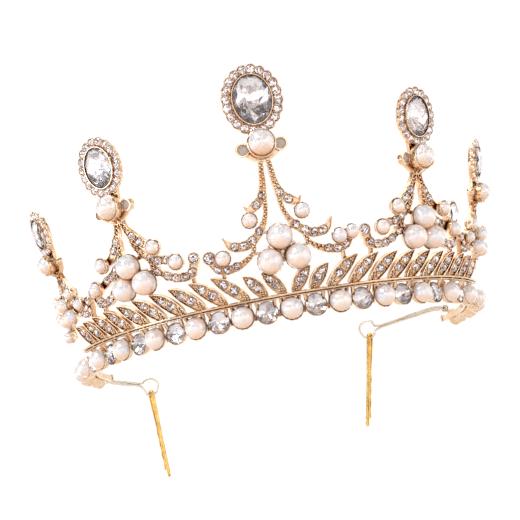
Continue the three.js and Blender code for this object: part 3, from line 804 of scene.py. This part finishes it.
def build_head(metal_part, stones, crest, angle, lean):
    """The plate that carries the halo of stones, with a scalloped edge and an opening for the oval."""
    rise, a, b, sa, sb, count = crest["head"]
    here = on_head(angle, lean, 0, rise, 0)
    ring_a, ring_b = (a + sa + 0.55) / 2, (b + sb + 0.55) / 2
    places = ellipse_steps(ring_a, ring_b, count)
    edge_length = math.pi * (3 * (ring_a + ring_b) / 2 - math.sqrt(ring_a * ring_b) / 2)
    stone_radius = 0.425 * edge_length / count
    fine = circle(HEAD_SIDES)
    nearest = np.abs((fine[:, None] - places[None, :] + math.pi) % TAU - math.pi).min(axis=1)
    scallop = 0.12 - 0.55 * nearest ** 1.2
    plate = [(-6.0, CREST_BACK), (-1.4, CREST_BACK), (-0.5, CREST_BACK + 0.1), (-0.25, CREST_BACK + 0.4),
             (-0.2, CREST_FRONT - 0.35), (-0.35, CREST_FRONT - 0.15), (-0.7, CREST_FRONT - 0.2)]
    opening = [(0.9, CREST_FRONT - 0.5), (0.5, CREST_FRONT - 0.5), (0.46, 0.75), (0.38, 0.95), (0.2, 0.95),
               (0.14, 0.6), (0.14, -1.6), (-3.5, -1.62)]

    def ring(half_width, half_height, out):
        flat = np.full(HEAD_SIDES, out)
        return np.column_stack((half_width * np.cos(fine), half_height * np.sin(fine), flat))
    rings = []
    for off, out in plate:
        push = scallop if off > -1.2 else 0.0
        rings.append(ring(max(a + off, 0.4) + push, max(b + off, 0.6) + push, out))
    rings += [ring(sa + off, sb + off, out) for off, out in opening]
    metal_part.add(loft(rings), here)
    for turn in places:
        x, y = ring_a * math.cos(turn), ring_b * math.sin(turn)
        set_stone(stones, here @ shift(x, y, 0.05), stone_radius, HALO)
        outward = math.atan2(y / ring_b ** 2, x / ring_a ** 2)
        for k in (-1, 1):
            claw = shift(x, y, 0) @ spin(outward + k * math.pi / 2)
            bead(metal_part, here @ claw @ shift(stone_radius * 1.12, 0, 0.12), 0.3)


def build_finial(metal_part, stones, crest, angle, lean):
    """The seat of the big pearl below the head, with a shoulder, a neck and an eyelet on each side."""
    rise, radius = crest["finial"]
    pearl_cup(metal_part, on_head(angle, lean, 0, rise, PEARL_OUT), radius, 12.0, 0.45, 0.3)
    flat = on_head(angle, lean, 0, rise, 0)
    reach = radius + 1.75
    right = [[1.6, -radius - 0.5, 1.0], [reach * 0.82, -2.6, 0.9], [reach, -0.4, 0.8]]
    left = [[-x, y, half] for x, y, half in right[::-1]]
    shoulders = left + [[0, -radius - 0.8, 1.1]] + right
    metal_part.add(channel(shoulders, 30, CREST_BACK, CREST_FRONT + 0.2, 0.3, 0.2), flat)
    neck = [[0, radius * y, radius * half] for y, half in ((0.4, 0.7), (1.25, 0.9), (1.9, 1.1))]
    metal_part.add(channel(neck, 6, CREST_BACK - 0.1, CREST_FRONT - 0.4, 0.3, 0.1), flat)
    size = crest["eyelets"]
    profile = [(0.3, -1.3), (1.9, -1.3), (2.2, -1.0), (2.25, 0.9), (2.1, 1.15), (1.75, 1.15), (1.6, 0.9),
               (1.55, 0.5), (0.3, 0.45)]
    eyelet = lathe([(r * size, z) for r, z in profile], 24)
    bottom = lathe([(0.2, 0.3), (1.58 * size, 0.3), (1.58 * size, 0.6), (0.2, 0.66)], 20)
    for side in (-1, 1):
        ring = flat @ shift(side * (radius + 1.8 * size), -1.1 * size, -0.6)
        metal_part.add(eyelet, ring)
        stones.add(bottom, ring, EYELET_FLOOR)


def add_grains(metal_part, line, start, end, angle, lean):
    """Two staggered rows of grains along an arm, between two shares of its length, on both sides."""
    line = np.array(line, float)
    places, _ = spline(line, 60)
    _, flat = spline(line[:, :2], 60)
    length = np.concatenate(([0], np.cumsum(np.linalg.norm(np.diff(places[:, :2], axis=0), axis=1))))
    for i, spot in enumerate(np.arange(start * length[-1] + 0.3, end * length[-1], GRAIN_STEP)):
        k = min(int(np.searchsorted(length, spot)), 60)
        x, y, half = places[k]
        off = half * 0.38 * (1 if i % 2 else -1)
        x, y = x - flat[k][1] * off, y + flat[k][0] * off
        for side in (-1, 1):
            bead(metal_part, on_bent(angle, lean, side * x, y, CREST_FRONT + 0.1), GRAIN_RADIUS)


def build_arms(metal_part, stones, pearls, crest, angle, lean):
    place = bent(angle, lean)
    for layer, line in enumerate(crest["arms"]):
        # each arm lies a little deeper than the one above it
        drop = 0.1 * (layer + 1)
        back, front = CREST_BACK - drop, CREST_FRONT - drop + 0.15
        for side in (-1, 1):
            points = [(side * x, y, half) for x, y, half in line]
            metal_part.add(channel(points, 30, back, front, 0.34, 0.42), place)
    for arm, start, end in crest["beads"]:
        add_grains(metal_part, crest["arms"][arm], start, end, angle, lean)
    for side in (-1, 1):
        for x, y, radius in crest["stones"]:
            set_stone(stones, on_bent(angle, lean, side * x, y, CREST_FRONT + 0.05), radius)
        for x, y, radius in crest["ends"][side]:
            here = on_bent(angle, lean, side * x, y, CREST_FRONT + 0.35)
            set_stone(stones, here, radius)
            edge = radius * 1.2
            back = [(0.3, -1.4), (radius * 0.8, -1.4), (edge, -0.5), (edge, -0.3), (0.3, -0.3)]
            metal_part.add(lathe(back, 16), here)
        for x, y, radius in crest["pearls"][side]:
            here = on_bent(angle, lean, side * x, y, CREST_FRONT + radius - 0.3)
            pearl_ball(pearls, here @ spin(x), radius)
            pearl_cup(metal_part, here, radius, *crest["cups"])
        for x, y, radius in crest["tips"]:
            bead(metal_part, on_bent(angle, lean, side * x, y, CREST_FRONT - 0.5), radius)
        strut = [[side * crest["strut"], y, 0.6] for y in (16.5, 13.6, 11.5)]
        metal_part.add(channel(strut, 8, CREST_BACK - 0.4, CREST_FRONT - 0.6), place)


def build_triad(metal_part, crest, angle, lean, name):
    """Three pearls at a crest's foot, with bars and a spine behind them."""
    top, low, half, radius = crest["triad"]
    pearls = Shape()
    for x, y in ((0, top), (-half, low), (half, low)):
        here = on_bent(angle, lean, x, y, PEARL_OUT)
        pearl_ball(pearls, here @ spin(y), radius - 0.02)
        pearl_cup(metal_part, here, radius)
    place = bent(angle, lean)
    scale = radius / 4
    for y, reach in ((top + 2.2, 5.2), (low + 3.2, 8.6)):
        bar = [[-reach * scale, y, 0.5], [0, y - 0.6, 0.7], [reach * scale, y, 0.5]]
        metal_part.add(channel(bar, 16, -3.2, -1.6, 0.2, 0.1), place)
    spine = [[0, top, 1], [0, (top + low) / 2, 1], [0, low - 1, 1]]
    metal_part.add(channel(spine, 10, -3.1, -1.6, 0.25, 0.15), place)
    # small claws reach forward between the pearls
    beside, upper = radius * 0.98, top - 2.6 * scale
    for x, y in ((-beside, upper), (beside, upper), (0, (top + 2 * low) / 3)):
        metal_part.add(tube([(x, y, -2.2), (x, y, -0.4), (x, y, 1.2)], 0.5, 8), place)
    ride(pearls.make("triad_" + name, [PEARL]), BODY, ["pearl_triad_" + name])


def build_oval(crest, angle, lean, name):
    rise, _, _, sa, sb, _ = crest["head"]
    here = on_head(angle, lean, 0, rise, 0.35)
    oval = Shape()
    add_glass(oval, sa + 0.12, sb + 0.12, 1.4, 1.2, here)
    # a dark ring at the oval's edge: painted shade where it meets the plate
    edge = [(-0.06, 0.3), (0.13, 0.3), (0.13, 0.42), (0.0, 0.46)]
    oval.add(lathe(edge, 48, (sa, sb), hoop=True), here, GLASS_RIM)
    ride(oval.make("oval_" + name, GLASS_PAINTS, ALL_SHARP), BODY, ["oval_crystal_" + name])


def build_crest(name, crest, angle_degrees, lean_degrees=0.0):
    angle, lean = math.radians(angle_degrees), math.radians(lean_degrees)
    metal_part, stones, pearls = Shape(), Shape(), Shape()
    build_head(metal_part, stones, crest, angle, lean)
    build_finial(metal_part, stones, crest, angle, lean)
    build_arms(metal_part, stones, pearls, crest, angle, lean)
    if name == "outer_left":
        # one more small pearl hangs low on this crest's outer side
        here = on_bent(angle, 0, -9.0, 12.3, 1.6)
        pearl_ball(pearls, here, 2.2)
        pearl_cup(metal_part, here, 2.2)
    build_triad(metal_part, crest, angle, lean, name)
    if name == "mid_right":
        build_side_crystal(metal_part, angle)
    ride(metal_part.make("crest_casting_" + name, [GOLD]), BODY, ["crest_" + name])
    ride(stones.make("crest_stones_" + name, STONE_PAINTS, STONE_SHARP), BODY)
    ride(pearls.make("small_pearls_" + name, [PEARL]), BODY)
    build_oval(crest, angle, lean, name)
    finial = Shape()
    rise, radius = crest["finial"]
    pearl_ball(finial, on_head(angle, lean, 0, rise, PEARL_OUT), radius)
    ride(finial.make("finial_" + name, [PEARL]), BODY, ["finial_pearl_" + name])


def build_side_crystal(metal_part, angle):
    """An upright oval crystal in a collar above the end of the right middle crest's second arm."""
    here = on_bent(angle, 0, 18.1, 26.9, 0)
    sa, sb = 2.4, 3.8
    collar = [(-2.2, CREST_BACK), (0.5, CREST_BACK), (0.75, -1.4), (0.75, 0.9), (0.55, 1.1), (0.25, 1.0),
              (0.2, 0.0), (-2.2, -0.1)]
    metal_part.add(lathe(collar, 36, (sa, sb)), here)
    stem = [[18.1, 24, 0.7], [17.4, 22.5, 0.7], [16.8, 21.4, 0.7]]
    metal_part.add(channel(stem, 6, CREST_BACK + 0.2, CREST_FRONT), bent(angle))
    stone = Shape()
    add_glass(stone, sa + 0.1, sb + 0.1, 1.2, 0.8, here @ shift(0, 0, 0.95))
    ride(stone.make("side_crystal", GLASS_PAINTS[:2], ALL_SHARP), BODY, ["side_crystal_mid_right"])


# ---- Wires and hair pins ----

# Each wire's route runs from the band to its loop; the lean is the pin's, as it hangs
SIDES = {
    "left": {"sign": -1, "lean": math.radians(4), "loop": (-60.2, 41.6, 0),
             "route": [(-76.2, 20.6, 4.6), (-75.6, 29, 4.1), (-70.7, 36, 3), (-64.6, 40, 1.5)]},
    "right": {"sign": 1, "lean": math.radians(-13.5), "loop": (39.2, 13.6, 5),
              "route": [(77.6, 19.4, 8.5), (71, 17, 9.2), (60.8, 14.6, 7.8), (43.6, 12, 5)]},
}
UP = np.array((0.0, 0.0, 1.0))
LOOP_RADIUS, LOOP_YAW, PIN_YAW = 3.7, math.radians(20), math.radians(60)
STRAND_OFF, BINDING_TURNS = 0.6, 3
PIN_WIDTH, PIN_THICKNESS, PIN_BEND, EYE_RISE = 1.5, 0.8, 1.6, 0.15


def build_wire(name, side):
    """Two strands that leave the band together and meet in a loop."""
    along = np.array((-side["sign"] * math.cos(LOOP_YAW), math.sin(LOOP_YAW), 0))
    centre = np.array(side["loop"], float)
    route = [np.array(p, float) for p in side["route"]]
    points = [p + UP * STRAND_OFF for p in route]
    for turn in range(125, -126, -25):
        a = math.radians(turn)
        points.append(centre + LOOP_RADIUS * (along * math.cos(a) + UP * math.sin(a)))
    points += [p - UP * STRAND_OFF for p in route[::-1]]
    wire = Shape()
    wire.add(tube(points, 0.5, 12, 150))
    # a few turns bind the two strands at the band
    step = (route[1] - route[0]) / np.linalg.norm(route[1] - route[0])
    across = np.cross(step, UP)
    across /= np.linalg.norm(across)
    rise = np.cross(across, step)
    coil = []
    for i in range(BINDING_TURNS * 8 + 1):
        a = TAU * i / 8
        spot = route[0] + step * (0.3 + 0.85 * i / 8)
        coil.append(spot + across * 0.85 * math.cos(a) + rise * 1.4 * math.sin(a))
    wire.add(tube(coil, 0.32, 8, BINDING_TURNS * 16))
    ride(wire.make("wire_" + name, [WIRE]), BODY, ["wire_loop_" + name])


def pin_frame(side):
    """A pin's place: x across its legs and y up, from the lowest point of its loop."""
    sign, lean = side["sign"], side["lean"]
    across = np.array((-sign * math.cos(PIN_YAW), -math.sin(PIN_YAW), 0))
    upright = np.column_stack((across, UP, np.cross(across, UP)))
    c, s = math.cos(-lean), math.sin(-lean)
    tilt = np.array(((c, 0, s), (0, 1, 0), (-s, 0, c)))
    m = np.eye(4)
    m[:3, :3] = tilt @ upright
    m[:3, 3] = np.array(side["loop"], float) - UP * LOOP_RADIUS
    return m


def build_pin(name, side):
    """A straight leg, a bend that hangs in the loop, and a wavy leg. One mesh blends the two legs' bodies."""
    line = [(0.5, -37.0), (0.5, -30), (0.5, -22), (0.7, -16), (1.25, -6)]
    line += [(PIN_BEND * math.cos(math.radians(a)), PIN_BEND * math.sin(math.radians(a)) + EYE_RISE)
             for a in range(0, 181, 20)]
    line += [(-1.3, -6), (-0.75, -14.5)]
    for wave in range(3):
        line += [(-1.35, -17.5 - 5 * wave), (-0.7, -20 - 5 * wave)]
    line += [(-1.05, -32), (-1.7, -33.5)]
    places, tangents = spline(np.array(line, float), 200)
    w, t = PIN_WIDTH / 2, PIN_THICKNESS / 2
    section = [(-t, -w + 0.3), (-t * 0.6, -w), (t * 0.6, -w), (t, -w + 0.3), (t, w - 0.3), (t * 0.6, w),
               (-t * 0.6, w), (-t, w - 0.3)]
    rings = []
    for (x, y), (tx, ty) in zip(places, tangents):
        rings.append(np.array([(x - ty * s, y + tx * s, z) for s, z in section])[::-1])
    m = pin_frame(side)
    pin = Shape()
    pin.add(loft(rings), m)
    # soft plastic tips
    for x, y in ((0.5, -36.8), (-1.7, -33.4)):
        pin.add(ball(0.78, 12, 8), m @ shift(x, y, 0))
    piece = pin.make("pin_" + name, [PIN_GOLD])
    start, end = (rigid(m)(np.array([[x, -10.0, 0.0]]))[0] * MM for x in (0.45, -0.65))
    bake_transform(piece)
    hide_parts("hair_pin_" + name, "pin_prong_" + name)


# ---- Stage ----

BLACKOUT, SOFTBOX = (0.05, 0.035, 0.03), (1.2, 1.19, 1.18)
FLOOR_LIGHT, MID_LIGHT, SKY_LIGHT = (0.75, 0.50, 0.34), (0.95, 0.86, 0.80), (1.25, 1.27, 1.32)
BACKDROP, SEEN_WHITE = (1.0, 0.95, 0.90, 1), (1.05, 1.05, 1.05, 1)
# Name, place and size in metres, watts and colour
LAMPS = (("key", (-0.55, -0.75, 0.75), 0.4, 3.6, (1.0, 0.98, 0.96)),
         ("fill", (0.8, -0.5, 0.25), 0.6, 0.8, (1.0, 0.90, 0.80)),
         ("window", (-0.8, -0.35, 0.1), 0.25, 0.8, (0.80, 0.90, 1.0)),
         ("top", (0.0, 0.1, 0.9), 0.6, 1.0, (1, 1, 1)),
         ("back", (0.3, 0.9, 0.5), 0.5, 0.8, (1.0, 0.97, 0.94)))
LAMP_AIM = Vector((0, -0.05, 0.03))
# The camera as fitted to the photograph: place in metres, and axes
LENS, SENSOR = 51.22, 36
CAMERA_PLACE = (-0.02036, -0.30396, -0.03424)
CAMERA_RIGHT, CAMERA_UP = (0.9839, -0.0151, -0.1779), (0.1689, -0.2442, 0.9549)
CAMERA_FORWARD = (0.0578, 0.9696, 0.2377)


def build_floor():
    """A pale floor with a painted glow that grows with distance, so that it fades into the white of the
    world.
    """
    bpy.ops.mesh.primitive_plane_add(size=30, location=(0, 0, -0.22))
    floor = bpy.context.object
    floor.name = "studio_floor"
    paint = Paint("pale_floor").set(Roughness=0.8, Emission_Strength=1.0)
    paint.colour(paint.ramp(paint.noise(400), [(0.4, (0.90, 0.88, 0.87)), (0.6, (0.92, 0.90, 0.89))]))
    distance = paint.tree.nodes.new("ShaderNodeVectorMath")
    distance.operation = "LENGTH"
    paint.link(paint.coordinates, distance.inputs[0])
    # painted glow: the floor gives off more light the further it lies from the middle
    painted_far_glow = map_range(paint.tree, distance.outputs["Value"], 0.6, 1.5)
    paint.link(painted_far_glow, paint.shader.inputs["Emission Color"])
    floor.data.materials.append(paint.material)


def build_world():
    """What the metal and the stones mirror: a room lit in patches, with a bright backdrop behind the tiara.
    The camera itself sees white."""
    world = bpy.data.worlds.new("studio")
    bpy.context.scene.world = world
    world.use_nodes = True
    tree = world.node_tree
    direction = tree.nodes.new("ShaderNodeTexCoord").outputs["Generated"]
    parts = tree.nodes.new("ShaderNodeSeparateXYZ")
    tree.links.new(direction, parts.inputs[0])
    noise = tree.nodes.new("ShaderNodeTexNoise")
    noise.inputs["Scale"].default_value = 3.6
    noise.inputs["Detail"].default_value = 1.5
    tree.links.new(direction, noise.inputs["Vector"])
    patches = colour_ramp(tree, noise.outputs["Fac"], [(0.48, BLACKOUT), (0.56, SOFTBOX)])
    height = map_range(tree, parts.outputs["Z"], -1.0, 1.0)
    sky = colour_ramp(tree, height, [(0.0, FLOOR_LIGHT), (0.45, MID_LIGHT), (1.0, SKY_LIGHT)])
    room = mix_colours(tree, 1.0, sky, patches, "MULTIPLY")
    behind = map_range(tree, parts.outputs["Y"], 0.2, 0.55)
    around = mix_colours(tree, behind, room, BACKDROP)
    seen = tree.nodes.new("ShaderNodeLightPath").outputs["Is Camera Ray"]
    background = tree.nodes["Background"]
    tree.links.new(mix_colours(tree, seen, around, SEEN_WHITE), background.inputs["Color"])


def build_lamps():
    for name, place, size, power, colour in LAMPS:
        lamp = bpy.data.lights.new(name, "AREA")
        lamp.size, lamp.energy, lamp.color = size, power, colour
        holder = bpy.data.objects.new(name, lamp)
        holder.location = place
        holder.rotation_euler = (LAMP_AIM - Vector(place)).to_track_quat("-Z", "Y").to_euler()
        bpy.context.scene.collection.objects.link(holder)


def build_camera():
    data = bpy.data.cameras.new("camera")
    data.sensor_width, data.lens = SENSOR, LENS
    data.clip_start, data.clip_end = 0.01, 50
    camera = bpy.data.objects.new("camera", data)
    turn = Matrix((CAMERA_RIGHT, CAMERA_UP, [-v for v in CAMERA_FORWARD])).transposed()
    camera.matrix_world = Matrix.Translation(CAMERA_PLACE) @ turn.to_4x4()
    bpy.context.scene.collection.objects.link(camera)
    bpy.context.scene.camera = camera
    bpy.context.scene.view_settings.view_transform = "Standard"


build_base_row()
build_leaves()
build_crest("centre", CENTRE, 0.0, 1.8)
build_crest("mid_left", MIDDLE, -33.3)
build_crest("mid_right", MIDDLE, 33.3)
build_crest("outer_left", squeezed(MIDDLE), -60.9)
build_crest("outer_right", squeezed(MIDDLE), 60.9)
for side_key, side_data in SIDES.items():
    build_wire(side_key, side_data)
    build_pin(side_key, side_data)
build_floor()
build_world()
build_lamps()
build_camera()
